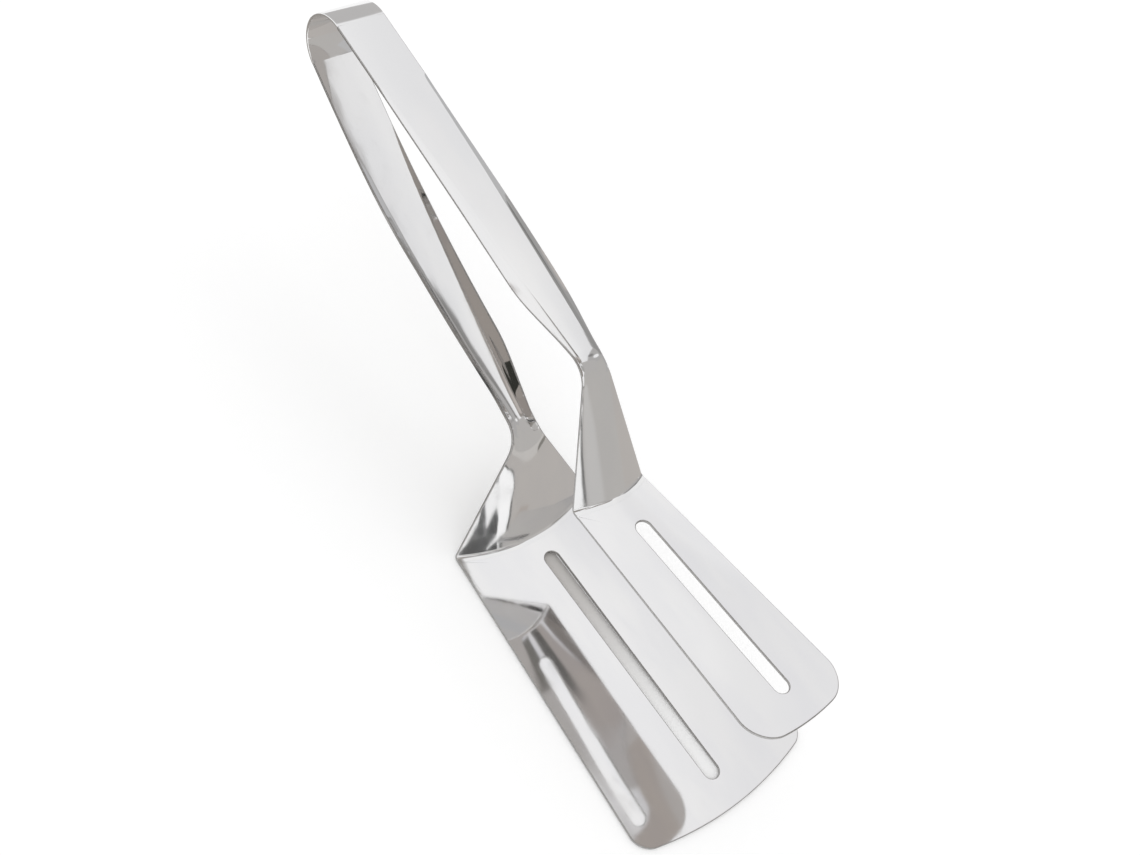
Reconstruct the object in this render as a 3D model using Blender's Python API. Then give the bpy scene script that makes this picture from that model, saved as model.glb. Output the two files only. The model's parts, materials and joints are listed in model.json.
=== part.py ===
# Spatula tongs pressed from one strip of stainless sheet: a U bow, two sprung arms and two slotted blades.
# All of it is worked out in the plane of the arms, with the bow's centre as origin: x runs along the tongs,
# y across them and z from the rear arm to the front arm. Then the whole is turned so that the wide rear
# blade lies flat on the ground.

from math import atan, atan2, cos, hypot, pi, sin

import bmesh
import bpy
from mathutils import Vector

# Sheet and bow
SHEET = 0.0010
STRIP_WIDTH = 0.0174
WAIST_WIDTH = 0.0090
BOW_RADIUS = 0.0112

# Front side, with the narrow blade. Spread is the distance from the middle line
FRONT_NECK_REACH = 0.1266
FRONT_NECK_SPREAD = 0.0248
FRONT_ARM_BULGE = 0.0003
FRONT_WEB_WIDTH = 0.0088
FRONT_CURL_RADIUS = 0.0036
FRONT_NECK_BEND = 0.0055
FRONT_FLARE_RUN = 0.0348
FRONT_FLARE_DROP = 0.0249
FRONT_CREASE_WIDTH = 0.0282
FRONT_CREASE_BULGE = 0.0034
FRONT_CROWN = 0.0022
FRONT_BLADE_RUN = 0.0814
FRONT_BLADE_RISE = 0.0298
FRONT_TIP_WIDTH = 0.0376
FRONT_TIP_BULGE = 0.0022
FRONT_CORNER_RADIUS = 0.0085
FRONT_SLOT_START = 0.0106
FRONT_SLOT_LENGTH = 0.0660
FRONT_SLOT_WIDTH = 0.0053

# Rear side, with the wide blade
REAR_NECK_REACH = 0.1298
REAR_NECK_SPREAD = 0.0256
REAR_ARM_BULGE = 0.0038
REAR_WEB_WIDTH = 0.0033
REAR_CURL_RADIUS = 0.0030
REAR_NECK_BEND = 0.0070
REAR_FLARE_RUN = 0.0278
REAR_FLARE_DROP = 0.0277
REAR_CREASE_WIDTH = 0.0564
REAR_CREASE_BULGE = 0.0067
REAR_CROWN = 0.0010
REAR_BLADE_RUN = 0.1042
REAR_BLADE_RISE = 0.0250
REAR_TIP_WIDTH = 0.0732
REAR_TIP_BULGE = 0.0054
REAR_CORNER_RADIUS = 0.0052
REAR_SLOT_START = 0.0074
REAR_SLOT_LENGTH = 0.0896
REAR_SLOT_WIDTH = 0.0056

# Bends, and the narrow gap that parts each region of the sheet from the next
CREASE_BEND = 0.0010
CREASE_MARGIN = 0.0010
NODE_GAP = 0.0003
CUT_OVERRUN = 0.0020

# Where along an arm, as shares of its length, the channel begins, the waist begins and the rear one opens out
CHANNEL_START_SHARE = 0.22
WAIST_START_SHARE = 0.74
REAR_OPENING_SHARE = 0.86
CORNER_LINES_SHARE = 0.36

# Where along a blade, as a share of its length, its crown has run out and the sheet is flat
FLAT_START_SHARE = 0.84

# Polished steel
OUTER_COLOUR = (0.86, 0.86, 0.87)
BLADE_COLOUR = (0.90, 0.90, 0.91)
OUTER_ROUGHNESS = 0.09
BLADE_ROUGHNESS = 0.07

# How finely the sheet is divided
BOW_ROWS = 16
ARM_ROWS = 22
BEND_ROWS = 6
BLADE_ROWS = 5
LINES_ACROSS = 28
SLOT_END_POINTS = 8
START_PASSES = 12


class Side:
    """One arm, neck and blade, held by the lengths that draw it."""

    def __init__(self, sign, **lengths):
        self.sign = sign
        for name, length in lengths.items():
            setattr(self, name, length)


FRONT = Side(
    1,
    reach=FRONT_NECK_REACH,
    spread=FRONT_NECK_SPREAD,
    arm_bulge=FRONT_ARM_BULGE,
    web_width=FRONT_WEB_WIDTH,
    curl_radius=FRONT_CURL_RADIUS,
    neck_bend=FRONT_NECK_BEND,
    flare_run=FRONT_FLARE_RUN,
    flare_drop=FRONT_FLARE_DROP,
    crease_width=FRONT_CREASE_WIDTH,
    crease_bulge=FRONT_CREASE_BULGE,
    crown=FRONT_CROWN,
    blade_run=FRONT_BLADE_RUN,
    blade_rise=FRONT_BLADE_RISE,
    tip_width=FRONT_TIP_WIDTH,
    tip_bulge=FRONT_TIP_BULGE,
    corner_radius=FRONT_CORNER_RADIUS,
    slot_start=FRONT_SLOT_START,
    slot_length=FRONT_SLOT_LENGTH,
    slot_width=FRONT_SLOT_WIDTH,
)
REAR = Side(
    -1,
    reach=REAR_NECK_REACH,
    spread=REAR_NECK_SPREAD,
    arm_bulge=REAR_ARM_BULGE,
    web_width=REAR_WEB_WIDTH,
    curl_radius=REAR_CURL_RADIUS,
    neck_bend=REAR_NECK_BEND,
    flare_run=REAR_FLARE_RUN,
    flare_drop=REAR_FLARE_DROP,
    crease_width=REAR_CREASE_WIDTH,
    crease_bulge=REAR_CREASE_BULGE,
    crown=REAR_CROWN,
    blade_run=REAR_BLADE_RUN,
    blade_rise=REAR_BLADE_RISE,
    tip_width=REAR_TIP_WIDTH,
    tip_bulge=REAR_TIP_BULGE,
    corner_radius=REAR_CORNER_RADIUS,
    slot_start=REAR_SLOT_START,
    slot_length=REAR_SLOT_LENGTH,
    slot_width=REAR_SLOT_WIDTH,
)
LINES = [index / LINES_ACROSS * 2 - 1 for index in range(LINES_ACROSS + 1)]


def ramp(value, start, end):
    """0 before start, 1 past end, and a smooth rise between them."""
    share = min(max((value - start) / (end - start), 0), 1)
    return share * share * (3 - 2 * share)


def mix(first, second, share):
    return first + (second - first) * share


def arm_start_angle(side):
    """The slope at which an arm leaves the bow's circle, so that its arc runs on to the neck without a kink."""
    angle = 0
    for _ in range(START_PASSES):
        chord_x = side.reach + BOW_RADIUS * sin(angle)
        chord_z = side.spread - BOW_RADIUS * cos(angle)
        chord = hypot(chord_x, chord_z)
        angle = atan2(chord_z, chord_x) + 2 * atan(2 * side.arm_bulge / chord)
    return angle


def arm_point(side, share):
    """The middle of the sheet at a share of the arm, and the arm's slope there, both on the side of +z."""
    angle = arm_start_angle(side)
    start = Vector((-BOW_RADIUS * sin(angle), 0, BOW_RADIUS * cos(angle)))
    end = Vector((side.reach, 0, side.spread))
    chord = end - start
    chord_angle = atan2(chord.z, chord.x)
    turn = 2 * (angle - chord_angle)
    radius = chord.length / 2 / sin(turn / 2)
    centre = start + Vector((sin(angle), 0, -cos(angle))) * radius
    slope = angle - turn * share
    return centre + Vector((-sin(slope), 0, cos(slope))) * radius, slope


def curl(side, share):
    """Half the sheet's width, half its flat web and how far its margins turn, at a share of the arm."""
    half_width = mix(STRIP_WIDTH, WAIST_WIDTH, ramp(share, WAIST_START_SHARE, 1)) / 2
    taper = min(max((share - CHANNEL_START_SHARE) / (1 - CHANNEL_START_SHARE), 0), 1)
    half_web = min(mix(STRIP_WIDTH, side.web_width, taper) / 2, half_width)
    opened = ramp(share, REAR_OPENING_SHARE, 1) if side is REAR else 0
    turn = (half_width - half_web) / side.curl_radius * (1 - opened)
    return half_width, half_web, turn


def arm_row(side, share):
    """The points across the sheet at a share of the arm: a flat web with its margins curled to the other arm."""
    middle, slope = arm_point(side, share)
    inward = Vector((sin(slope), 0, -cos(slope)))
    half_width, half_web, turn = curl(side, share)
    row = []
    for line in LINES:
        along = abs(line) * half_width
        bent = max(along - half_web, 0)
        across = min(along, half_web)
        depth = 0
        if turn and bent:
            radius = (half_width - half_web) / turn
            across += radius * sin(bent / radius)
            depth = radius * (1 - cos(bent / radius))
        else:
            across += bent
        point = middle + inward * depth
        row.append(Vector((point.x, across if line > 0 else -across, point.z * side.sign)))
    return row


def blade_axes(side):
    """The blade's lengthwise direction and its upward normal."""
    along = Vector((side.blade_run, 0, side.blade_rise)).normalized()
    return along, Vector((-along.z, 0, along.x))


def crease_middle(side):
    """The middle of the sheet where the neck's flare meets the blade, on the middle line."""
    neck = Vector((side.reach, 0, side.spread * side.sign))
    return neck + Vector((side.flare_run, 0, -side.flare_drop))


def crease_row(side):
    """The arc in which the arched flare meets the blade."""
    along, up = blade_axes(side)
    middle = crease_middle(side)
    row = []
    for line in LINES:
        set_back = line * line
        point = middle - along * side.crease_bulge * set_back - up * side.crown * set_back
        row.append(point + Vector((0, line * side.crease_width / 2, 0)))
    return row


def tip_row(side):
    """The blade's end: a shallow arc with a round corner at each side, all at the level of the side edges."""
    along, up = blade_axes(side)
    length = hypot(side.blade_run, side.blade_rise)
    middle = crease_middle(side) - up * side.crown + along * length
    half = side.tip_width / 2
    radius = side.corner_radius
    row = []
    for line in LINES:
        corner = max((abs(line) - 1 + CORNER_LINES_SHARE) / CORNER_LINES_SHARE, 0)
        if corner:
            across = half - radius + radius * sin(corner * pi / 2)
            short = radius * (1 - cos(corner * pi / 2))
        else:
            across = (half - radius) * abs(line) / (1 - CORNER_LINES_SHARE)
            short = 0
        short += side.tip_bulge * min(across / half, 1) ** 2
        point = middle - along * short
        row.append(Vector((point.x, across if line > 0 else -across, point.z)))
    return row


def flat_row(side, crease, tip):
    """Where the blade's crown has run out: part of the way to the end, at the level of the side edges."""
    _, up = blade_axes(side)
    row = []
    for line, start, end in zip(LINES, crease, tip):
        crown = up * side.crown * (1 - line * line)
        row.append(mix(start, end, FLAT_START_SHARE) - crown * (1 - FLAT_START_SHARE))
    return row


def bend_rows(before, corners, after, rows):
    """Rows that round each line's corner, as a curve from before it to after it."""
    found = []
    for step in range(rows + 1):
        share = step / rows
        row = []
        for start, corner, end in zip(before, corners, after):
            row.append(mix(mix(start, corner, share), mix(corner, end, share), share))
        found.append(row)
    return found


def moved_on(row, target, distance):
    """Each point of a row moved by a distance towards its partner."""
    return [point + (end - point).normalized() * distance for point, end in zip(row, target)]


def side_rows(side):
    """The rows of a side's arm, neck and blade, which are a gap apart."""
    arm_length = hypot(side.reach, side.spread)
    bend_share = 1 - side.neck_bend / arm_length
    gap_share = NODE_GAP / arm_length
    bow_share = gap_share / 2
    arm_end_share = bend_share - gap_share
    arm = []
    for step in range(ARM_ROWS + 1):
        arm.append(arm_row(side, mix(bow_share, arm_end_share, step / ARM_ROWS)))
    corners = arm_row(side, 1)
    crease = crease_row(side)
    tip = tip_row(side)
    neck = bend_rows(arm_row(side, bend_share), corners, moved_on(corners, crease, side.neck_bend), BEND_ROWS)
    flat = flat_row(side, crease, tip)
    bend_end = moved_on(crease, flat, CREASE_BEND)
    neck += bend_rows(moved_on(crease, corners, CREASE_BEND), crease, bend_end, BEND_ROWS)
    neck.append(moved_on(bend_end, flat, CREASE_MARGIN))
    blade_start = moved_on(neck[-1], flat, NODE_GAP)
    blade = []
    for step in range(BLADE_ROWS + 1):
        blade.append([mix(start, end, step / BLADE_ROWS) for start, end in zip(blade_start, flat)])
    blade.append(tip)
    return arm, neck, blade


def bow_rows():
    """The rows of the bow, round its circle from the front arm to the rear arm."""
    gap_angle = NODE_GAP / BOW_RADIUS / 2
    first = pi / 2 + arm_start_angle(FRONT) + gap_angle
    last = 3 * pi / 2 - arm_start_angle(REAR) - gap_angle
    rows = []
    for step in range(BOW_ROWS + 1):
        angle = mix(first, last, step / BOW_ROWS)
        rows.append([
            Vector((BOW_RADIUS * cos(angle), line * STRIP_WIDTH / 2, BOW_RADIUS * sin(angle)))
            for line in LINES
        ])
    return rows


def polished_steel(name, colour, roughness):
    material = bpy.data.materials.new(name)
    material.use_nodes = True
    shader = material.node_tree.nodes["Principled BSDF"]
    shader.inputs["Base Color"].default_value = (*colour, 1)
    shader.inputs["Metallic"].default_value = 1
    shader.inputs["Roughness"].default_value = roughness
    return material


def add_object(name, mesh, parent):
    made = bpy.data.objects.new(name, mesh)
    bpy.context.scene.collection.objects.link(made)
    made.parent = parent
    return made


def sheet_object(name, rows, parent, material):
    """A region of the sheet: its middle surface from rows of points, given the sheet's thickness."""
    shape = bmesh.new()
    grid = [[shape.verts.new(point) for point in row] for row in rows]
    for row, following in zip(grid, grid[1:]):
        for index in range(len(row) - 1):
            shape.faces.new((row[index], following[index], following[index + 1], row[index + 1]))
    mesh = bpy.data.meshes.new(name)
    shape.to_mesh(mesh)
    shape.free()
    mesh.shade_smooth()
    mesh.materials.append(material)
    made = add_object(name, mesh, parent)
    thick = made.modifiers.new("thickness", "SOLIDIFY")
    thick.thickness = SHEET
    thick.offset = 0
    thick.use_even_offset = True
    return made


def cut_slot(blade, side):
    """The drain slot: a straight slot with round ends on the blade's middle line."""
    along, up = blade_axes(side)
    radius = side.slot_width / 2
    across = Vector((0, 1, 0))
    first = crease_middle(side) + along * (side.slot_start + radius)
    second = first + along * (side.slot_length - side.slot_width)
    below = up * (side.crown + SHEET + CUT_OVERRUN)
    height = up * (side.crown + (SHEET + CUT_OVERRUN) * 2)
    shape = bmesh.new()
    outline = []
    for centre, start in ((first, pi / 2), (second, -pi / 2)):
        for step in range(SLOT_END_POINTS + 1):
            angle = start + pi * step / SLOT_END_POINTS
            outline.append(shape.verts.new(centre - below + (along * cos(angle) + across * sin(angle)) * radius))
    base = shape.faces.new(outline)
    top = bmesh.ops.extrude_face_region(shape, geom=[base])["geom"]
    bmesh.ops.translate(shape, vec=height, verts=[item for item in top if isinstance(item, bmesh.types.BMVert)])
    bmesh.ops.recalc_face_normals(shape, faces=shape.faces)
    mesh = bpy.data.meshes.new(blade.name + "_slot")
    shape.to_mesh(mesh)
    shape.free()
    cutter = add_object(mesh.name, mesh, blade.parent)
    cutter.hide_render = True
    cutter.display_type = "WIRE"
    cut = blade.modifiers.new("slot", "BOOLEAN")
    cut.operation = "DIFFERENCE"
    cut.solver = "EXACT"
    cut.object = cutter


def ground_pose():
    """An empty at the bow's centre, turned and lifted so that the rear blade lies flat with the part centred."""
    tilt = atan2(REAR_BLADE_RISE, REAR_BLADE_RUN)
    _, up = blade_axes(REAR)
    edge = crease_middle(REAR) - up * REAR_CROWN
    tip = edge + Vector((REAR_BLADE_RUN, 0, REAR_BLADE_RISE))
    tip_x = tip.x * cos(tilt) + tip.z * sin(tilt)
    edge_z = edge.z * cos(tilt) - edge.x * sin(tilt)
    pose = bpy.data.objects.new("ground_pose", None)
    bpy.context.scene.collection.objects.link(pose)
    pose.rotation_euler.y = tilt
    pose.location = ((BOW_RADIUS + SHEET / 2 - tip_x) / 2, 0, SHEET / 2 - edge_z)
    return pose


def build():
    for old in list(bpy.data.objects):
        bpy.data.objects.remove(old)
    pose = ground_pose()
    squeeze_axis = add_object("squeeze_axis", None, pose)
    outer = polished_steel("polished_steel", OUTER_COLOUR, OUTER_ROUGHNESS)
    bright = polished_steel("blade_steel", BLADE_COLOUR, BLADE_ROUGHNESS)
    sheet_object("spring_bow", bow_rows(), pose, outer)
    for title, side, parent in (("front", FRONT, squeeze_axis), ("rear", REAR, pose)):
        arm, neck, blade = side_rows(side)
        sheet_object(title + "_arm", arm, parent, outer)
        sheet_object(title + "_neck", neck, parent, outer)
        plate = sheet_object(title + "_blade", blade, parent, bright)
        cut_slot(plate, side)


build()
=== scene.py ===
# Polished spatula tongs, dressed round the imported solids.
# Lengths in the dictionaries are millimetres and angles are degrees.
import json
import math

import bmesh
import bpy
import numpy as np
from mathutils import Euler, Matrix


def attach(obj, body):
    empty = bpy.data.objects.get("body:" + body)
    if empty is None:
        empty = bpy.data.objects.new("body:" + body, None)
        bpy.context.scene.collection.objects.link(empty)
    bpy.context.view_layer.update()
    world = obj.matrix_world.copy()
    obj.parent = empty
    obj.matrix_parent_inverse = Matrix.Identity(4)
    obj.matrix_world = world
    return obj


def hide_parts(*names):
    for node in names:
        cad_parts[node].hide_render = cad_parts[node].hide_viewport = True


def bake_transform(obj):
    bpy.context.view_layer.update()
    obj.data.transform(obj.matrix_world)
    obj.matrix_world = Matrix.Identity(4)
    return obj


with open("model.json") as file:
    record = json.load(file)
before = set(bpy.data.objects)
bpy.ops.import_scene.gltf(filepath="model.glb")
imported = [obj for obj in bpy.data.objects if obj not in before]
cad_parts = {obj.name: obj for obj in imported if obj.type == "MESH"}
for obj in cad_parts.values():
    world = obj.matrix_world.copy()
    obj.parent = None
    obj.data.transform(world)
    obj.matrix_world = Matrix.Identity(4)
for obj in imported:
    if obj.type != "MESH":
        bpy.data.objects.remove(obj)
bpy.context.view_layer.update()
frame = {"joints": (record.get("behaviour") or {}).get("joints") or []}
mm = 0.001

sheet = {
    "thickness": 1.0,
    "edgeRadius": 0.28,
    "seamRadius": 0.02,
    "edgeSteps": 4,
    "supportInset": 0.25,  # a line of points beside each rounded edge
    "stripWidth": 17.4,
    "waistWidth": 9.0,
    "creaseBend": 1.0,
    "creaseMargin": 1.15,
}

# from where to where along an arm, as shares of its length, its shape changes
armShares = {
    "firstLean": (0.17, 0.22),
    "bendGrows": (0.25, 0.6),
    "hollow": (0.45, 0.95),
    "waist": (0.74, 1),
    "opening": (0.86, 1),
}

# how finely the sheet is divided
meshing = {
    "armRows": 170,
    "bendRows": 16,
    "flareRows": 36,
    "lines": 64,
    "endPoints": 56,
    "sidePoints": 70,
    "bladeRings": 26,
    "insetRoom": 1.3,  # how many edge insets a line of points keeps from the sheet's side
    "slopeStep": 0.01,  # the step for the blade's slopes
    "slopeRounds": 12,  # rounds that settle the slope at which an arm leaves the bow
    "upRow": 10,  # the row that tells whether the normals face up
}

# shares of a blade's length, and of its half width, where its form changes
bladeShares = {"crownFlat": 0.84, "crownFade": 0.2, "corner": 0.36}

frontHalf = {
    "body": "front_half",
    "side": 1,
    "neckReach": 126.6,
    "neckSpread": 24.8,
    "armBulge": 0.3,
    "channelStart": 0.04,  # the share of the arm's length where its margins start to turn in
    "fullLean": 0.30,  # the share at which they lean fully
    "webWidth": 6.0,
    "curlRadius": 8.0,
    "flangeBend": (0.8, 4.0),  # radius of the bend between web and flange, at the bow and at the neck
    "flangeEase": 0.0,  # how much a strong lean is held back
    "leastLean": 0.36,  # the lean, in radians, that the margins have from early on
    "hollow": (0.1, 0.2),  # depth of the section's hollow at the bow and at the neck
    "neckBend": 5.5,
    "flareRun": 34.8,
    "flareDrop": 24.9,
    "creaseWidth": 28.2,
    "creaseBulge": 3.4,
    "crown": 2.2,
    "bladeRun": 81.4,
    "bladeRise": 29.8,
    "tipWidth": 37.6,
    "tipBulge": 2.2,
    "cornerRadius": 8.5,
    "slotStart": 10.6,
    "slotLength": 66.0,
    "slotWidth": 5.3,
}

rearHalf = {
    "body": "rear_half",
    "side": -1,
    "neckReach": 129.8,
    "neckSpread": 25.6,
    "armBulge": 3.8,
    "channelStart": 0.10,
    "fullLean": 0.54,
    "webWidth": 3.3,
    "curlRadius": 3.0,
    "flangeBend": (1.8, 1.8),
    "flangeEase": 0.3,
    "leastLean": 0.0,
    "hollow": (0.15, 0.8),
    "neckBend": 7.0,
    "flareRun": 27.8,
    "flareDrop": 27.7,
    "creaseWidth": 56.4,
    "creaseBulge": 6.7,
    "crown": 1.0,
    "bladeRun": 104.2,
    "bladeRise": 25.0,
    "tipWidth": 73.2,
    "tipBulge": 5.4,
    "cornerRadius": 5.2,
    "slotStart": 7.4,
    "slotLength": 89.6,
    "slotWidth": 5.6,
}

bow = {"radius": 11.2, "thickness": 0.94, "steps": 110, "filletCount": 4}

lie = math.atan2(rearHalf["bladeRise"], rearHalf["bladeRun"])  # the turn that lays the rear blade flat
hinge = np.array(frame["joints"][0]["pos_m"])


# shapes, in the arms' own frame with the bow's centre as origin

def smoothRamp(value, start, end):
    share = np.clip((value - start) / (end - start), 0, 1)
    return share * share * (3 - 2 * share)


def mix(first, second, share):
    return first + (second - first) * share


def unit(vectors):
    return vectors / np.linalg.norm(vectors, axis=-1, keepdims=True)


def points(x, y, z):
    return np.stack(np.broadcast_arrays(x, y, z), -1).astype(float)


def turned(vectors):
    x, y, z = vectors[..., 0], vectors[..., 1], vectors[..., 2]
    return points(x * math.cos(lie) + z * math.sin(lie), y, z * math.cos(lie) - x * math.sin(lie))


def placed(local):
    return turned(local) * mm + hinge


def armStart(half):
    # the slope at which an arm leaves the bow without a kink
    angle = 0.0
    for _ in range(meshing["slopeRounds"]):
        alongX = half["neckReach"] + bow["radius"] * math.sin(angle)
        alongZ = half["neckSpread"] - bow["radius"] * math.cos(angle)
        chord = math.hypot(alongX, alongZ)
        angle = math.atan2(alongZ, alongX) + 2 * math.atan(2 * half["armBulge"] / chord)
    return angle


def armSheet(half, share, line):
    # middle of the sheet: an arc from the bow to the neck, its margins curled towards the other arm
    angle = armStart(half)
    startX, startZ = -bow["radius"] * math.sin(angle), bow["radius"] * math.cos(angle)
    chordX, chordZ = half["neckReach"] - startX, half["neckSpread"] - startZ
    turn = 2 * (angle - math.atan2(chordZ, chordX))
    radius = math.hypot(chordX, chordZ) / 2 / math.sin(turn / 2)
    slope = angle - turn * share
    middleX = startX + (math.sin(angle) - np.sin(slope)) * radius
    middleZ = startZ + (np.cos(slope) - math.cos(angle)) * radius
    narrowing = smoothRamp(share, *armShares["waist"])
    halfWidth = mix(sheet["stripWidth"], sheet["waistWidth"], narrowing) / 2
    start = half["channelStart"]
    taper = np.clip((share - start) / (1 - start), 0, 1)
    halfWeb = np.minimum(mix(sheet["stripWidth"], half["webWidth"], taper) / 2, halfWidth)
    opened = smoothRamp(share, *armShares["opening"]) if half["side"] < 0 else 0
    easedIn = np.clip((share - start) / (half["fullLean"] - start), 0, 1) ** 2
    turnedIn = (halfWidth - halfWeb) / half["curlRadius"] * (1 - opened) * easedIn
    lean = turnedIn / (1 + half["flangeEase"] * turnedIn ** 2)
    lean = np.maximum(lean, half["leastLean"] * smoothRamp(share, *armShares["firstLean"]))
    bendRadius = mix(*half["flangeBend"], smoothRamp(share, *armShares["bendGrows"]))
    along = np.abs(line) * halfWidth
    bend = np.clip((along - halfWeb) / bendRadius, 0, lean)
    flange = np.maximum(along - halfWeb - lean * bendRadius, 0)
    across = np.minimum(along, halfWeb) + bendRadius * np.sin(bend) + flange * np.cos(lean)
    depth = bendRadius * (1 - np.cos(bend)) + flange * np.sin(lean)
    depth = depth + mix(*half["hollow"], smoothRamp(share, *armShares["hollow"])) * line * line
    x = middleX + np.sin(slope) * depth
    z = (middleZ - np.cos(slope) * depth) * half["side"]
    return points(x, np.sign(line) * across, z)


def bladeAxes(half):
    along = unit(np.array([half["bladeRun"], 0.0, half["bladeRise"]]))
    return along, np.array([-along[2], 0.0, along[0]])


def creaseMiddle(half):
    x = half["neckReach"] + half["flareRun"]
    return np.array([x, 0.0, half["neckSpread"] * half["side"] - half["flareDrop"]])


def creaseRow(half, line):
    along, up = bladeAxes(half)
    setBack = (line * line)[..., None]
    row = creaseMiddle(half) - setBack * (along * half["creaseBulge"] + up * half["crown"])
    row[..., 1] = line * half["creaseWidth"] / 2
    return row


def tipOutline(half, line):
    # the blade's end as (along, across): a shallow arc with a round corner at each side
    length = math.hypot(half["bladeRun"], half["bladeRise"])
    reach, radius, share = half["tipWidth"] / 2, half["cornerRadius"], bladeShares["corner"]
    corner = np.maximum((np.abs(line) - 1 + share) / share, 0) * math.pi / 2
    straight = (reach - radius) * np.minimum(np.abs(line) / (1 - share), 1)
    across = straight + radius * np.sin(corner)
    short = radius * (1 - np.cos(corner)) + half["tipBulge"] * np.minimum(across / reach, 1) ** 2
    return length - short, np.sign(line) * across


def tipRow(half, line):
    along, up = bladeAxes(half)
    reach, across = tipOutline(half, line)
    row = creaseMiddle(half) - up * half["crown"] + along * reach[..., None]
    row[..., 1] = across
    return row


def flatRow(half, line):
    # where the blade's crown has run out
    _, up = bladeAxes(half)
    share = bladeShares["crownFlat"]
    crown = half["crown"] * (1 - line * line) * (1 - share)
    return mix(creaseRow(half, line), tipRow(half, line), share) - up * crown[..., None]


def movedOn(row, target, distance):
    return row + unit(target - row) * distance


def roundedCorner(before, corner, after, steps):
    share = np.linspace(0, 1, steps + 1)[:, None, None]
    return mix(mix(before, corner, share), mix(corner, after, share), share)


def halfSheet(half, line):
    # the arm's rows, then the neck's to just past the crease, and the row where the arm ends
    armLength = math.hypot(half["neckReach"], half["neckSpread"])
    bendShare = 1 - half["neckBend"] / armLength
    shares = np.linspace(0, bendShare, meshing["armRows"] + 1)[:, None]
    arm = armSheet(half, shares, line[None, :])
    waist = armSheet(half, np.ones((1, 1)), line[None, :])[0]
    crease = creaseRow(half, line)
    flat = flatRow(half, line)
    flareStart = movedOn(waist, crease, half["neckBend"])
    flareEnd = movedOn(crease, waist, sheet["creaseBend"])
    bendEnd = movedOn(crease, flat, sheet["creaseBend"])
    flareShare = np.linspace(0, 1, meshing["flareRows"] + 1)[:, None, None]
    rows = [
        arm,
        roundedCorner(arm[-1], waist, flareStart, meshing["bendRows"])[1:],
        mix(flareStart, flareEnd, flareShare)[1:],
        roundedCorner(flareEnd, crease, bendEnd, meshing["bendRows"])[1:],
        movedOn(bendEnd, flat, sheet["creaseMargin"])[None],
    ]
    return np.concatenate(rows), meshing["armRows"]


def bladeHeight(half, u, y):
    # the crown's height over the blade's plane, which runs out towards the end
    length = math.hypot(half["bladeRun"], half["bladeRise"])
    sideEnd = length - half["cornerRadius"] - half["tipBulge"]
    sideShare = np.clip((u + half["creaseBulge"]) / (sideEnd + half["creaseBulge"]), 0, 1)
    line = y / (mix(half["creaseWidth"], half["tipWidth"], sideShare) / 2)
    start = -half["creaseBulge"] * line * line
    end = mix(start, length - half["tipBulge"] * line * line, bladeShares["crownFlat"])
    share = (u - start) / (end - start)
    fade = bladeShares["crownFade"]
    easing = np.maximum(1 + fade - share, 0) ** 2 / (4 * fade)
    left = np.where(share < 1 - fade, 1 - share, easing)
    return half["crown"] * ((1 - line * line) * left - 1)


def bladeSurface(half, u, y):
    # middle of the sheet and its normal, at u along the blade and y across it
    along, up = bladeAxes(half)
    step = meshing["slopeStep"]
    slopeU = (bladeHeight(half, u + step, y) - bladeHeight(half, u - step, y)) / (2 * step)
    slopeY = (bladeHeight(half, u, y + step) - bladeHeight(half, u, y - step)) / (2 * step)
    height = bladeHeight(half, u, y)
    middle = creaseMiddle(half) + along * u[..., None] + up * height[..., None]
    middle[..., 1] = y
    normal = up - along * slopeU[..., None]
    normal[..., 1] = -slopeY
    return middle, unit(normal)


# closed bodies from the sheet's middle surface

def roundedEdge(edge, outward, normal, radius):
    # points and normals from the upper face, round the edge and on to the lower face
    thick = sheet["thickness"] / 2
    places, facing = [], []
    for side, steps in ((1, range(sheet["edgeSteps"] + 1)), (-1, range(sheet["edgeSteps"], -1, -1))):
        for step in steps:
            angle = step / sheet["edgeSteps"] * math.pi / 2
            over = normal * side * (thick - radius + radius * math.cos(angle))
            places.append(edge + outward * radius * (math.sin(angle) - 1) + over)
            facing.append(outward * math.sin(angle) + normal * side * math.cos(angle))
    return places, facing


def meshObject(name, vertices, normals, faces, edgeFaces, materials):
    mesh = bpy.data.meshes.new(name)
    mesh.from_pydata(vertices.reshape(-1, 3).tolist(), [], faces)
    for material in materials:
        mesh.materials.append(material)
    mesh.polygons.foreach_set("material_index", edgeFaces.astype(np.int32))
    mesh.polygons.foreach_set("use_smooth", np.ones(len(faces), bool))
    shell = bmesh.new()
    shell.from_mesh(mesh)
    bmesh.ops.recalc_face_normals(shell, faces=shell.faces)
    shell.to_mesh(mesh)
    shell.free()
    mesh.normals_split_custom_set_from_vertices(normals.reshape(-1, 3).tolist())
    made = bpy.data.objects.new(name, mesh)
    bpy.context.scene.collection.objects.link(made)
    return made


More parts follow.
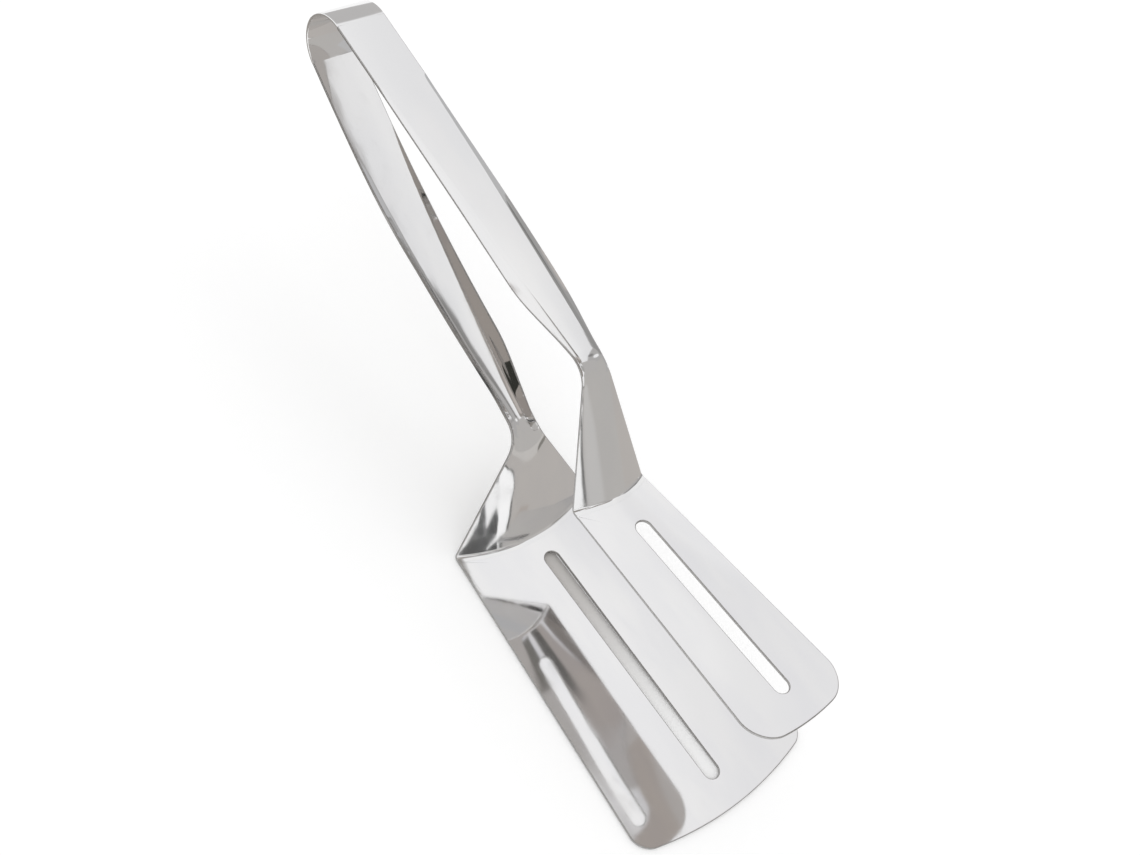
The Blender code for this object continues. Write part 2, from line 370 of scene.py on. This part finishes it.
def stripPiece(name, rows, normals, materials):
    # a stretch of the strip: rows of points with round side edges and plain ends
    thick, radius = sheet["thickness"] / 2, sheet["edgeRadius"]
    inset = radius + sheet["supportInset"]
    left = unit(rows[:, 0] - rows[:, 1])
    right = unit(rows[:, -1] - rows[:, -2])
    distance = np.linalg.norm(np.diff(rows, axis=1), axis=-1).min(0)
    reach = np.minimum(np.cumsum(distance), np.cumsum(distance[::-1])[::-1])
    room = inset * meshing["insetRoom"]
    kept = [index + 1 for index in range(len(reach) - 1) if min(reach[index], reach[index + 1]) > room]
    middle = [rows[:, 0] - left * inset, *(rows[:, index] for index in kept), rows[:, -1] - right * inset]
    facing = [normals[:, 0], *(normals[:, index] for index in kept), normals[:, -1]]
    rightPlaces, rightFacing = roundedEdge(rows[:, -1], right, normals[:, -1], radius)
    leftPlaces, leftFacing = roundedEdge(rows[:, 0], left, normals[:, 0], radius)
    upper = [place + normal * thick for place, normal in zip(middle, facing)]
    lower = [place - normal * thick for place, normal in zip(middle, facing)][::-1]
    section = upper + rightPlaces + lower + leftPlaces[::-1]
    sectionFacing = facing + rightFacing + [-normal for normal in facing[::-1]] + leftFacing[::-1]
    vertices, around = np.stack(section, 1), len(section)
    rowStart = np.arange(len(rows) - 1)[:, None] * around
    index = np.arange(around)[None, :]
    following = (index + 1) % around
    near, far = rowStart + index, rowStart + following
    sides = np.stack([near, far, far + around, near + around], -1).reshape(-1, 4)
    wide, rim = len(upper), len(rightPlaces)
    isEdge = np.zeros(around, bool)
    isEdge[wide:wide + rim - 1] = True
    isEdge[2 * wide + rim:around - 1] = True
    pairs = [(k, k + 1, 2 * wide + rim - 2 - k, 2 * wide + rim - 1 - k) for k in range(wide - 1)]
    rightRim = [wide - 1, *range(wide, wide + rim), wide + rim]
    leftRim = [2 * wide + rim - 1, *range(2 * wide + rim, around), 0]
    faces = [tuple(face) for face in sides]
    last = (len(rows) - 1) * around
    for loop in (*pairs, rightRim, leftRim):
        faces.append(tuple(reversed(loop)))
        faces.append(tuple(last + k for k in loop))
    edgeFaces = np.concatenate([np.tile(isEdge, len(rows) - 1), np.zeros(len(faces) - len(sides), bool)])
    directions = turned(np.stack(sectionFacing, 1))
    return meshObject(name, placed(vertices), directions, faces, edgeFaces, materials)


def bladePiece(name, half, seam, materials):
    # rings from the slot's edge to the blade's outline, closed both ways
    along, up = bladeAxes(half)
    offset = seam - creaseMiddle(half)
    seamU, seamY = offset @ along, seam[:, 1]
    ends, sides = meshing["endPoints"], meshing["sidePoints"]
    order = np.linspace(0, len(seamU) - 1, ends + 1)
    whole = np.arange(len(seamU))
    startU, startY = np.interp(order, whole, seamU), np.interp(order, whole, seamY)
    tipU, tipY = tipOutline(half, np.linspace(1, -1, ends + 1))
    share = np.linspace(0, 1, sides + 1)

    def closed(*stretches):
        return np.concatenate([stretch[:-1] for stretch in stretches])

    outerU = closed(startU, mix(startU[-1], tipU[0], share), tipU, mix(tipU[-1], startU[0], share))
    outerY = closed(startY, mix(startY[-1], tipY[0], share), tipY, mix(tipY[-1], startY[0], share))
    radius = half["slotWidth"] / 2
    nearU = half["slotStart"] + radius
    farU = half["slotStart"] + half["slotLength"] - radius
    swing = np.linspace(-math.pi / 2, math.pi / 2, ends + 1)
    endU, endY, sideY = radius * np.cos(swing), radius * np.sin(swing), np.full(sides + 1, radius)
    innerU = closed(nearU - endU, mix(nearU, farU, share), farU + endU, mix(farU, nearU, share))
    innerY = closed(endY, sideY, -endY, -sideY)
    around = len(outerU)
    isSeam = np.arange(around) <= ends

    def outwards(u, y):
        tangentU, tangentY = np.roll(u, -1) - np.roll(u, 1), np.roll(y, -1) - np.roll(y, 1)
        size = np.hypot(tangentU, tangentY)
        return -tangentY / size, tangentU / size

    outerNormalU, outerNormalY = outwards(outerU, outerY)
    slotNormalU, slotNormalY = outwards(innerU, innerY)
    outerRadius = np.where(isSeam, sheet["seamRadius"], sheet["edgeRadius"])
    innerRadius = np.full(around, sheet["edgeRadius"])
    thick = sheet["thickness"] / 2

    def edgeOf(u, y, normalU, normalY, sign, edgeRadius):
        middle, normal = bladeSurface(half, u, y)
        outward = along * (normalU * sign)[:, None]
        outward[:, 1] = normalY * sign
        outward = unit(outward - normal * (outward * normal).sum(-1, keepdims=True))
        return roundedEdge(middle, outward, normal, edgeRadius[:, None])

    outerPlaces, outerFacing = edgeOf(outerU, outerY, outerNormalU, outerNormalY, 1, outerRadius)
    innerPlaces, innerFacing = edgeOf(innerU, innerY, slotNormalU, slotNormalY, -1, innerRadius)
    innerInset, outerInset = innerRadius + sheet["supportInset"], outerRadius + sheet["supportInset"]
    fromU, fromY = innerU + slotNormalU * innerInset, innerY + slotNormalY * innerInset
    toU, toY = outerU - outerNormalU * outerInset, outerY - outerNormalY * outerInset
    rings = np.linspace(0, 1, meshing["bladeRings"] + 1)[:, None]
    middle, normal = bladeSurface(half, mix(fromU, toU, rings), mix(fromY, toY, rings))
    upper, lower = middle + normal * thick, middle - normal * thick
    section = [*upper, *outerPlaces, *lower[::-1], *innerPlaces[::-1]]
    facing = [*normal, *outerFacing, *-normal[::-1], *innerFacing[::-1]]
    count = len(section)
    ring = np.arange(count)[:, None] * around
    nextRing = (np.arange(count)[:, None] + 1) % count * around
    index = np.arange(around)[None, :]
    following = (index + 1) % around
    corners = (ring + index, ring + following, nextRing + following, nextRing + index)
    faces = np.stack(corners, -1).reshape(-1, 4).tolist()
    wide, rim = len(upper), len(outerPlaces)
    isEdge = np.zeros(count, bool)
    isEdge[wide:wide + rim - 1] = True
    isEdge[2 * wide + rim:count - 1] = True
    edgeFaces = np.repeat(isEdge, around)
    places, directions = placed(np.stack(section)), turned(np.stack(facing))
    return meshObject(name, places, directions, faces, edgeFaces, materials)


def sheetNormals(rows):
    alongRows = np.gradient(rows, axis=0)
    acrossRows = np.gradient(rows, axis=1)
    return unit(np.cross(alongRows, acrossRows))


# materials

mixShare, mixFirst, mixSecond, mixResult = 0, 6, 7, 2  # a Mix node's sockets for colours
seedShift = (1, 1.7, 2.3)  # how far a seed moves a noise along x, y and z


class Wire:
    # an output of a node: maths on it adds Math nodes
    def __init__(self, tree, socket):
        self.tree = tree
        self.socket = socket

    def maths(self, operation, first, second):
        return self.tree.node("ShaderNodeMath", {"operation": operation}, {0: first, 1: second})

    def __add__(self, other):
        return self.maths("ADD", self, other)

    def __mul__(self, other):
        return self.maths("MULTIPLY", self, other)

    def __sub__(self, other):
        return self.maths("SUBTRACT", self, other)

    def __rsub__(self, other):
        return self.maths("SUBTRACT", other, self)

    __radd__ = __add__
    __rmul__ = __mul__


class Tree:
    def __init__(self, owner):
        owner.use_nodes = True
        self.nodes = owner.node_tree.nodes
        self.links = owner.node_tree.links
        self.nodes.clear()

    def node(self, kind, settings=None, sockets=None, out=0):
        made = self.nodes.new(kind)
        for name, value in (settings or {}).items():
            setattr(made, name, value)
        for name, value in (sockets or {}).items():
            if isinstance(value, Wire):
                self.links.new(value.socket, made.inputs[name])
            else:
                made.inputs[name].default_value = value
        return Wire(self, made.outputs[out]) if made.outputs else made

    def noise(self, size, detail, seed):
        # noise in the piece's own coordinates, its cells measured in millimetres along x, y and z
        place = self.node("ShaderNodeTexCoord", {}, {}, out="Object")
        scale = [1 / (value * mm) for value in size]
        shift = [seed * share for share in seedShift]
        stretched = self.node("ShaderNodeVectorMath", {"operation": "MULTIPLY_ADD"}, {
            0: place, 1: scale, 2: shift})
        return self.node("ShaderNodeTexNoise", {}, {
            "Vector": stretched, "Scale": 1.0, "Detail": detail})

    def band(self, value, start, end):
        return self.node("ShaderNodeMapRange", {"interpolation_type": "SMOOTHSTEP"}, {
            "Value": value, "From Min": start, "From Max": end})

    def blend(self, share, first, second):
        first, second = (end if isinstance(end, Wire) else (*end, 1) for end in (first, second))
        return self.node("ShaderNodeMix", {"data_type": "RGBA"}, {
            mixShare: share, mixFirst: first, mixSecond: second}, out=mixResult)

    def bump(self, height, depth, normal=None):
        sockets = {"Height": height, "Distance": depth * mm, "Strength": 1.0}
        if normal is not None:
            sockets["Normal"] = normal
        return self.node("ShaderNodeBump", {}, sockets)

    def metal(self, colour, roughness, normal):
        shader = self.node("ShaderNodeBsdfPrincipled", {}, {
            "Base Color": colour, "Metallic": 1.0, "Roughness": roughness, "Normal": normal})
        self.node("ShaderNodeOutputMaterial", {}, {"Surface": shader})


# a look's noises: their detail, what each adds to the look's seed, and the band in which some fade in
layers = {
    "waves": {"detail": 1.5, "seed": 0},
    "grain": {"detail": 3, "seed": 5},
    "handling": {"detail": 4, "seed": 11, "band": (0.52, 0.74)},
    "scratches": {"detail": 2, "seed": 17, "band": (0.66, 0.76)},
    "tint": {"detail": 2, "seed": 23, "band": (0.35, 0.65)},
}

polish = {
    "tint": {"size": (34, 12, 18), "colours": ((0.85, 0.848, 0.85), (0.872, 0.866, 0.862))},
    "waves": {"size": (26, 11, 15), "height": 0.075},
    "grain": {"size": (46, 0.32, 5), "height": 0.0011},
    "roughness": (0.035, 0.075),
    "handling": {"size": (13, 9, 9), "wear": 0.055},
    "scratches": {"size": (11, 0.09, 0.9), "amount": 0.09, "depth": 0.6},
    "seed": 3.1,
}

bladePolish = {
    "tint": {"size": (30, 10, 30), "colours": ((0.845, 0.842, 0.85), (0.875, 0.87, 0.868))},
    "waves": {"size": (44, 21, 40), "height": 0.06},
    "grain": {"size": (70, 0.25, 40), "height": 0.0007},
    "roughness": (0.03, 0.07),
    "handling": {"size": (17, 8, 20), "wear": 0.06},
    "scratches": {"size": (16, 0.08, 9), "amount": 0.08, "depth": 0.6},
    "seed": 8.4,
}

shear = {
    "tints": ((0.36, 0.355, 0.35), (0.56, 0.55, 0.54)),
    "band": (0.35, 0.7),
    "size": (0.35, 0.35, 0.16),
    "detail": 3,
    "seed": 1.7,
    "roughness": (0.26, 0.46),
    "height": 0.012,
}


def polishedSteel(name, look):
    # mirror-polished sheet: slow waves, the rolling's grain, handling marks and hairline scratches
    material = bpy.data.materials.new(name)
    tree = Tree(material)

    def layer(part):
        made = tree.noise(look[part]["size"], layers[part]["detail"], look["seed"] + layers[part]["seed"])
        return tree.band(made, *layers[part]["band"]) if "band" in layers[part] else made

    waves, grain = layer("waves"), layer("grain")
    handled, scratched = layer("handling"), layer("scratches")
    tint = tree.blend(layer("tint"), *look["tint"]["colours"])
    low, high = look["roughness"]
    wear, amount = look["handling"]["wear"], look["scratches"]["amount"]
    roughness = low + grain * (high - low) + handled * wear + scratched * amount
    waved = tree.bump(waves, look["waves"]["height"])
    scored = grain - scratched * look["scratches"]["depth"]
    tree.metal(tint, roughness, tree.bump(scored, look["grain"]["height"], waved))
    return material


def cutSteel(name, look):
    # the sheet's sheared edge: a fine grain across the thickness
    material = bpy.data.materials.new(name)
    tree = Tree(material)
    burr = tree.noise(look["size"], look["detail"], look["seed"])
    low, high = look["roughness"]
    tint = tree.blend(tree.band(burr, *look["band"]), *look["tints"])
    tree.metal(tint, low + burr * (high - low), tree.bump(burr, look["height"]))
    return material


# pieces

mirrorSteel = polishedSteel("mirrorSteel", polish)
bladeSteel = polishedSteel("bladeSteel", bladePolish)
shearedEdge = cutSteel("shearedEdge", shear)


def dressHalf(half, title):
    line = np.linspace(-1, 1, meshing["lines"] + 1)
    rows, armEnd = halfSheet(half, line)
    normals = sheetNormals(rows)
    if normals[meshing["upRow"], len(line) // 2, 2] < 0:
        normals = -normals
    parts = {
        title + "Arm": (rows[:armEnd + 1], normals[:armEnd + 1], title.lower() + "_arm"),
        title + "Neck": (rows[armEnd:], normals[armEnd:], title.lower() + "_neck"),
    }
    for name, (stretch, facing, node) in parts.items():
        piece = stripPiece(name, stretch, facing, (mirrorSteel, shearedEdge))
        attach(piece, half["body"])
        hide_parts(node)
    blade = bladePiece(title + "Blade", half, rows[-1], (bladeSteel, shearedEdge))
    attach(blade, half["body"])
    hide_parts(title.lower() + "_blade")


def bowTree():
    # an arc swept with the strip's rounded section
    tree = bpy.data.node_groups.new("springBow", "GeometryNodeTree")
    tree.interface.new_socket("Geometry", in_out="OUTPUT", socket_type="NodeSocketGeometry")
    inputs = {"Radius": "NodeSocketFloat", "Start": "NodeSocketFloat", "Sweep": "NodeSocketFloat",
              "Width": "NodeSocketFloat", "Thickness": "NodeSocketFloat", "Edge": "NodeSocketFloat",
              "Place": "NodeSocketVector", "Metal": "NodeSocketMaterial"}
    for name, kind in inputs.items():
        tree.interface.new_socket(name, in_out="INPUT", socket_type=kind)
    entry = tree.nodes.new("NodeGroupInput")

    def add(kind, settings, sockets):
        made = tree.nodes.new(kind)
        for name, value in settings.items():
            setattr(made, name, value)
        for name, value in sockets.items():
            if isinstance(value, bpy.types.NodeSocket):
                tree.links.new(value, made.inputs[name])
            else:
                made.inputs[name].default_value = value
        return made

    arc = add("GeometryNodeCurveArc", {"mode": "RADIUS"}, {
        "Resolution": bow["steps"], "Radius": entry.outputs["Radius"],
        "Start Angle": entry.outputs["Start"], "Sweep Angle": entry.outputs["Sweep"]})
    upright = add("GeometryNodeSetCurveNormal", {"mode": "Z_UP"}, {"Curve": arc.outputs["Curve"]})
    outline = add("GeometryNodeCurvePrimitiveQuadrilateral", {"mode": "RECTANGLE"}, {
        "Width": entry.outputs["Thickness"], "Height": entry.outputs["Width"]})
    rounded = add("GeometryNodeFilletCurve", {"mode": "POLY"}, {
        "Curve": outline.outputs["Curve"], "Count": bow["filletCount"],
        "Radius": entry.outputs["Edge"]})
    swept = add("GeometryNodeCurveToMesh", {}, {
        "Curve": upright.outputs["Curve"], "Profile Curve": rounded.outputs["Curve"], "Fill Caps": True})
    stood = add("GeometryNodeTransform", {}, {
        "Geometry": swept.outputs["Mesh"], "Translation": entry.outputs["Place"],
        "Rotation": (math.pi / 2, 0, 0)})
    metal = add("GeometryNodeSetMaterial", {}, {
        "Geometry": stood.outputs["Geometry"], "Material": entry.outputs["Metal"]})
    real = add("GeometryNodeRealizeInstances", {}, {"Geometry": metal.outputs["Geometry"]})
    leave = tree.nodes.new("NodeGroupOutput")
    tree.links.new(real.outputs["Geometry"], leave.inputs["Geometry"])
    return tree


def dressBow():
    first = math.pi / 2 + armStart(frontHalf) - lie
    last = 3 * math.pi / 2 - armStart(rearHalf) - lie
    holder = bpy.data.objects.new("bowHolder", bpy.data.meshes.new("bowHolder"))
    bpy.context.scene.collection.objects.link(holder)
    sweep = holder.modifiers.new("sweep", "NODES")
    sweep.node_group = bowTree()
    values = {"Radius": bow["radius"] * mm, "Start": first, "Sweep": last - first,
              "Width": sheet["stripWidth"] * mm, "Thickness": bow["thickness"] * mm,
              "Edge": sheet["edgeRadius"] * mm, "Place": hinge.tolist(), "Metal": mirrorSteel}
    for item in sweep.node_group.interface.items_tree:
        if item.in_out == "INPUT":
            sweep[item.identifier] = values[item.name]
    graph = bpy.context.evaluated_depsgraph_get()
    mesh = bpy.data.meshes.new_from_object(holder.evaluated_get(graph))
    bpy.data.objects.remove(holder)
    piece = bpy.data.objects.new("SpringBow", mesh)
    bpy.context.scene.collection.objects.link(piece)
    mesh.shade_smooth()
    start = hinge + points(math.cos(last), 0, math.sin(last)) * bow["radius"] * mm
    end = hinge + points(math.cos(first), 0, math.sin(first)) * bow["radius"] * mm
    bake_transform(piece)
    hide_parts("spring_bow")


dressHalf(frontHalf, "Front")
dressHalf(rearHalf, "Rear")
dressBow()
print("tongs dressed")

# studio

camera = {"place": (138.77, -253.47, 417.21), "turn": (33.9175, -18.3089, 51.2867), "lens": 47.8954}

# The steel sees its own white and the tones: azimuth, elevation, outer and inner radius, colour.
# All else sees the backdrop.
room = {
    "light": 1.0,
    "backdrop": (1.0, 1.0, 1.0),
    "white": (0.965, 0.965, 0.97),
    "tones": [
        (80, 43, 52, 8, (0.915, 0.915, 0.92)),
        (108, 64, 12, 3, (0.955, 0.955, 0.96)),
        (88, 50, 12, 3, (0.855, 0.853, 0.862)),
        (71, 50, 10, 3, (0.85, 0.85, 0.86)),
        (114, 46, 11, 3, (0.87, 0.87, 0.88)),
        (32, 8, 43.6, 42.4, (0.28, 0.27, 0.265)),
        (32, 8, 41.6, 40.4, (0.50, 0.485, 0.47)),
        (5, 15, 15, 5, (0.57, 0.56, 0.55)),
        (155, 25, 32, 26, (0.54, 0.53, 0.525)),
        (90, 6, 16, 12, (0.42, 0.41, 0.40)),
        (74, 29, 26, 25, (0.46, 0.45, 0.445)),
        (78.5, 52.4, 2.8, 1.6, (0.26, 0.255, 0.25)),
        (58, 28, 15, 12, (0.50, 0.485, 0.47)),
        (94, 30, 11.5, 11, (0.33, 0.325, 0.32)),
        (97.5, 40, 9.3, 8.8, (0.33, 0.325, 0.32)),
        (96, 20, 10.5, 9.8, (0.33, 0.325, 0.32)),
        (99, 4, 13, 11.5, (0.38, 0.375, 0.37)),
        (104, 28, 4.2, 1.5, (0.08, 0.08, 0.08)),
        (46, 50, 12.6, 11.8, (0.50, 0.485, 0.475)),
        (28, 46, 9, 8, (0.50, 0.485, 0.475)),
        (73, 47, 3.2, 2.4, (0.93, 0.93, 0.935)),
        (62, 69, 9, 8.2, (0.31, 0.285, 0.265)),
        (84, 71, 9, 6, (0.52, 0.48, 0.45)),
        (50, 62, 5.5, 4.8, (0.50, 0.485, 0.475)),
        (13, 63, 7, 6, (0.40, 0.39, 0.38)),
        (25, 57.5, 7.5, 6.5, (0.42, 0.41, 0.40)),
        (-22, 54, 10, 9, (0.30, 0.275, 0.255)),
        (-36, 66, 5.5, 4.5, (0.26, 0.245, 0.23)),
        (95, 68, 5, 4, (0.17, 0.165, 0.155)),
        (20, 80, 9.5, 8.5, (0.30, 0.275, 0.255)),
        (-70, 72, 8.8, 8, (0.30, 0.275, 0.255)),
        (-55, 56, 13, 12, (0.30, 0.275, 0.255)),
        (-50, 41, 8, 7, (0.30, 0.275, 0.255)),
        (-84, 46, 19, 17, (0.31, 0.28, 0.26)),
        (-98, 20, 20, 17, (0.33, 0.30, 0.275)),
        (-40, -38, 62.2, 61, (0.16, 0.16, 0.155)),
        (-40, -38, 60.6, 59.4, (1.0, 1.0, 1.0)),
    ],
}

studioFloor = {"size": 3000, "colour": 0.96, "lift": 0.09}


def lying(height, *corners):
    return [(x, y, height) for x, y in corners]


def standing(y, *corners):
    return [(x, y, z) for x, z in corners]


def crossing(x, *corners):
    return [(x, y, z) for y, z in corners]


# cards that only the steel sees: corners and colour
flags = {
    "farCard": {
        "corners": lying(0.15, (135, 19), (280, 69), (312, 88), (1500, 700), (1500, 1500), (-700, 1500),
                         (-200, 50), (-90, 32), (30, 28)),
        "colour": (0.50, 0.475, 0.455),
    },
    "backCard": {
        "corners": lying(0.15, (-270, -150), (-44, -150), (-44, -24), (4, -24), (4, 27), (-44, 31),
                         (-90, 31.5), (-200, 49), (-270, 49)),
        "colour": (0.34, 0.32, 0.30),
    },
    "neckCard": {
        "corners": lying(0.15, (-43.9, -60), (12, -60), (12, -24.1), (-43.9, -24.1)),
        "colour": (0.56, 0.55, 0.54),
    },
    "farCardEdge": {
        "corners": lying(0.25, (135, 19), (136, 14), (285, 61), (330, 86), (1400, 610), (1400, 650),
                         (312, 88), (280, 69)),
        "colour": (0.14, 0.14, 0.135),
    },
    "warmCard": {
        "corners": lying(0.2, (96, 24), (142, 24), (142, 46), (100, 44)),
        "colour": (0.445, 0.405, 0.375),
    },
    "mirrorCardDark": {
        "corners": standing(45, (38, 18), (60, 17), (60, 33), (37, 35)),
        "colour": (0.25, 0.24, 0.22),
    },
    "mirrorCardPale": {
        "corners": standing(45, (60, 17), (114, 17), (112, 32), (60, 33)),
        "colour": (0.58, 0.56, 0.54),
    },
    "armCard": {
        "corners": standing(60, (-130, 95), (-66, 80), (-58, 142), (-112, 152)),
        "colour": (0.52, 0.52, 0.525),
    },
    "blackCard": {
        "corners": standing(-10, (-22.5, 46), (-21.5, 43.5), (-19, 42.5), (-14, 42.5), (-12.5, 44),
                            (-8, 60), (-8, 72), (-12, 70), (-19, 54)),
        "colour": (0.035, 0.035, 0.03),
    },
    "lowCard": {
        "corners": crossing(232, (-66, 0.2), (14, 0.2), (16, 8), (8, 13), (-4, 13), (-14, 12), (-22, 19),
                            (-30, 24), (-36, 18), (-50, 17), (-66, 15)),
        "colour": (0.11, 0.11, 0.11),
    },
}

# painted shade on the floor under the slot of the wide blade: a grey card, darkest at the crease end and
# clearing towards the tip
paintedSlotShade = {
    "middle": (74, 0),
    "size": (96, 6),
    "height": 0.1,
    "fade": (30, 105),  # from where to where along x the shade clears
    "shade": (0.62, 0.60, 0.58),
    "clear": (0.96, 0.96, 0.96),
}


def facingVector(azimuth, elevation):
    across, high = math.radians(azimuth), math.radians(elevation)
    return (math.cos(high) * math.cos(across), math.cos(high) * math.sin(across), math.sin(high))


def addRoom():
    world = bpy.data.worlds.new("room")
    bpy.context.scene.world = world
    tree = Tree(world)
    towards = tree.node("ShaderNodeTexCoord", {}, {})
    tone = room["white"]
    for azimuth, elevation, outer, inner, colour in room["tones"]:
        near = tree.node("ShaderNodeVectorMath", {"operation": "DOT_PRODUCT"}, {
            0: towards, 1: facingVector(azimuth, elevation)}, out="Value")
        share = tree.band(near, math.cos(math.radians(outer)), math.cos(math.radians(inner)))
        tone = tree.blend(share, tone, colour)
    ray = tree.node("ShaderNodeLightPath", {}, {}, out="Is Glossy Ray")
    seen = tree.blend(ray, room["backdrop"], tone)
    back = tree.node("ShaderNodeBackground", {}, {"Color": seen, "Strength": room["light"]})
    tree.node("ShaderNodeOutputWorld", {}, {"Surface": back})


def stageCard(name, corners, material):
    mesh = bpy.data.meshes.new(name)
    mesh.from_pydata([[value * mm for value in corner] for corner in corners], [], [range(len(corners))])
    mesh.materials.append(material)
    made = bpy.data.objects.new(name, mesh)
    bpy.context.scene.collection.objects.link(made)
    return made


def rectangle(middle, size, height):
    x, y, halfX, halfY = *middle, size[0] / 2, size[1] / 2
    return lying(height, (x - halfX, y - halfY), (x + halfX, y - halfY),
                 (x + halfX, y + halfY), (x - halfX, y + halfY))


def addFloor():
    material = bpy.data.materials.new("studioFloor")
    tree = Tree(material)
    tint = (studioFloor["colour"],) * 3 + (1,)
    matt = tree.node("ShaderNodeBsdfDiffuse", {}, {"Color": tint})
    lift = tree.node("ShaderNodeEmission", {}, {"Strength": studioFloor["lift"]})
    both = tree.node("ShaderNodeAddShader", {}, {0: matt, 1: lift})
    tree.node("ShaderNodeOutputMaterial", {}, {"Surface": both})
    stageCard("studioFloor", rectangle((0, 0), (studioFloor["size"],) * 2, 0), material)


def addFlags():
    for name, card in flags.items():
        material = bpy.data.materials.new(name)
        tree = Tree(material)
        glow = tree.node("ShaderNodeEmission", {}, {"Color": (*card["colour"], 1), "Strength": 1.0})
        tree.node("ShaderNodeOutputMaterial", {}, {"Surface": glow})
        made = stageCard(name, card["corners"], material)
        made.visible_camera = made.visible_diffuse = False
        made.visible_shadow = made.visible_transmission = False


def addPaintedSlotShade():
    material = bpy.data.materials.new("paintedSlotShade")
    tree = Tree(material)
    place = tree.node("ShaderNodeTexCoord", {}, {}, out="Object")
    along = tree.node("ShaderNodeSeparateXYZ", {}, {0: place})
    start, end = paintedSlotShade["fade"]
    share = tree.band(along, start * mm, end * mm)
    # painted shade: the card's colour darkens towards the crease end in place of a cast shadow
    tint = tree.blend(share, paintedSlotShade["shade"], paintedSlotShade["clear"])
    matt = tree.node("ShaderNodeBsdfDiffuse", {}, {"Color": tint})
    tree.node("ShaderNodeOutputMaterial", {}, {"Surface": matt})
    stageCard("paintedSlotShade", rectangle(paintedSlotShade["middle"], paintedSlotShade["size"], paintedSlotShade["height"]), material)


def addCamera():
    lens = bpy.data.cameras.new("camera")
    lens.lens = camera["lens"]
    made = bpy.data.objects.new("camera", lens)
    made.location = [value * mm for value in camera["place"]]
    made.rotation_euler = Euler([math.radians(angle) for angle in camera["turn"]])
    bpy.context.scene.collection.objects.link(made)
    bpy.context.scene.camera = made


addRoom()
addFloor()
addFlags()
addPaintedSlotShade()
addCamera()
bpy.context.scene.view_settings.view_transform = "Standard"
print("studio ready")
